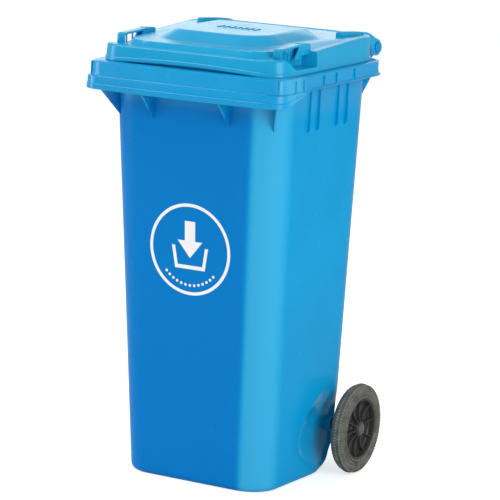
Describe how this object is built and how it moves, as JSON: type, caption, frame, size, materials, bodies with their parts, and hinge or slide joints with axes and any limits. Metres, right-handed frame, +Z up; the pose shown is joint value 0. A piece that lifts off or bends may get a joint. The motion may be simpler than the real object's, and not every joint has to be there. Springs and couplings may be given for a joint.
{
  "type": "litter bin",
  "caption": "Blue two-wheeled litter bin: a tapered plastic tub with a ribbed collar, a hinged lid with grips, a rear handle bar and rubber-tyred wheels on a steel axle.",
  "frame": {"origin": "on the floor under the middle of the bin's overall length and width", "axes": "+Z up; -Y is the bin's front, +Y its rear with the wheels and the handle; +X is the viewer's right seen from the front"},
  "size_m": [0.483, 0.5499, 0.9588],
  "materials": {
    "body_plastic": "moulded blue polyethylene, satin",
    "lid_plastic": "moulded blue polyethylene, satin",
    "pin_plastic": "moulded blue plastic",
    "zinc_steel": "zinc-plated steel",
    "spring_steel": "drawn spring wire",
    "sleeve_plastic": "dark grey plastic tube",
    "rim_plastic": "moulded dark grey plastic",
    "cap_plastic": "moulded grey plastic",
    "tyre_rubber": "solid grey rubber"
  },
  "bodies": {
    "bin": {"body": "body_plastic", "hinge_pin_left": "pin_plastic", "hinge_pin_right": "pin_plastic", "axle": "zinc_steel", "axle_sleeve_left": "sleeve_plastic", "axle_sleeve_right": "sleeve_plastic", "axle_washer_left": "zinc_steel", "axle_washer_right": "zinc_steel"},
    "lid_body": {"lid": "lid_plastic"},
    "wheel_left": {"wheel_rim_left": "rim_plastic", "tyre_left": "tyre_rubber", "hub_cap_left": "cap_plastic", "lock_spring_left": "spring_steel"},
    "wheel_right": {"wheel_rim_right": "rim_plastic", "tyre_right": "tyre_rubber", "hub_cap_right": "cap_plastic", "lock_spring_right": "spring_steel"},
    "catch_left": {"lock_pin_left": "zinc_steel"},
    "catch_right": {"lock_pin_right": "zinc_steel"}
  },
  "joints": [
    {"name": "lid_hinge", "type": "hinge", "parent": "bin", "child": "lid_body", "pos_m": [0, 0.25, 0.91701], "axis": [-1, 0, 0], "range_deg": [0, 270]},
    {"name": "wheel_left_spin", "type": "hinge", "parent": "bin", "child": "wheel_left", "pos_m": [-0.2105, 0.151, 0.098], "axis": [1, 0, 0], "continuous": true},
    {"name": "wheel_right_spin", "type": "hinge", "parent": "bin", "child": "wheel_right", "pos_m": [0.2105, 0.151, 0.098], "axis": [1, 0, 0], "continuous": true},
    {"name": "lock_pin_left_release", "type": "slide", "parent": "wheel_left", "child": "catch_left", "axis": [0, 0, 1], "range_m": [0, 0.0022], "stiffness_N_per_m": 400, "springref_m": -0.002, "deforming": ["lock_spring_left"]},
    {"name": "lock_pin_right_release", "type": "slide", "parent": "wheel_right", "child": "catch_right", "axis": [0, 0, 1], "range_m": [0, 0.0022], "stiffness_N_per_m": 400, "springref_m": -0.002, "deforming": ["lock_spring_right"]}
  ]
}
